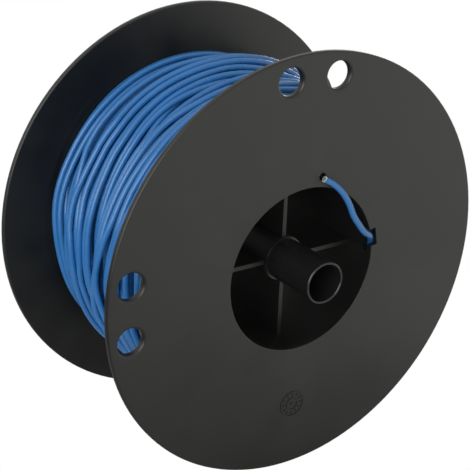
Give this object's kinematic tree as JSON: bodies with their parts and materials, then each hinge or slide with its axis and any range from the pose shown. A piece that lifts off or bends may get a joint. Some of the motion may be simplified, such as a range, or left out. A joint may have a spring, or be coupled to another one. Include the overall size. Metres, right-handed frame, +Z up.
{
  "type": "wire spool",
  "caption": "Plastic wire spool with two round flanges, a ribbed hub that turns on a centre tube, and a winding of single-core wire.",
  "frame": {"origin": "on the spool's axis, halfway between the outer faces of the two flanges", "axes": "the axis runs along Y with the front flange and the tube's nose at -Y; +Z is up as the spool stands on its rims"},
  "size_m": [0.2, 0.116, 0.2],
  "materials": {
    "spool_plastic": "moulded black plastic, satin with a faint grain",
    "tube_plastic": "extruded black plastic tube, satin",
    "wire_insulation": "mid-blue PVC insulation, satin",
    "tinned_copper": "cut ends of tinned copper strands"
  },
  "bodies": {
    "tube": {"centre_tube": "tube_plastic", "tube_retaining_ring": "tube_plastic"},
    "spool": {"front_flange": "spool_plastic", "front_barrel": "spool_plastic", "front_hub_boss": "spool_plastic", "front_rib_top": "spool_plastic", "front_rib_right": "spool_plastic", "front_rib_bottom": "spool_plastic", "front_rib_left": "spool_plastic", "rear_flange": "spool_plastic", "rear_barrel": "spool_plastic", "rear_hub_boss": "spool_plastic", "rear_rib_top": "spool_plastic", "rear_rib_right": "spool_plastic", "rear_rib_bottom": "spool_plastic", "rear_rib_left": "spool_plastic", "snap_hooks": "spool_plastic", "catch_ledges": "spool_plastic", "mould_mark": "spool_plastic", "wire_layer_01": "wire_insulation", "wire_layer_02": "wire_insulation", "wire_layer_03": "wire_insulation", "wire_layer_04": "wire_insulation", "wire_layer_05": "wire_insulation", "wire_layer_06": "wire_insulation", "wire_layer_07": "wire_insulation", "wire_layer_08": "wire_insulation", "wire_layer_09": "wire_insulation", "wire_layer_10": "wire_insulation", "wire_start_tail": "wire_insulation", "wire_start_strands": "tinned_copper", "wire_outer_tail": "wire_insulation", "wire_outer_strands": "tinned_copper"}
  },
  "joints": [
    {"name": "spool_spin", "type": "hinge", "parent": "tube", "child": "spool", "pos_m": [0, 0, 0], "axis": [0, 1, 0], "continuous": true}
  ]
}
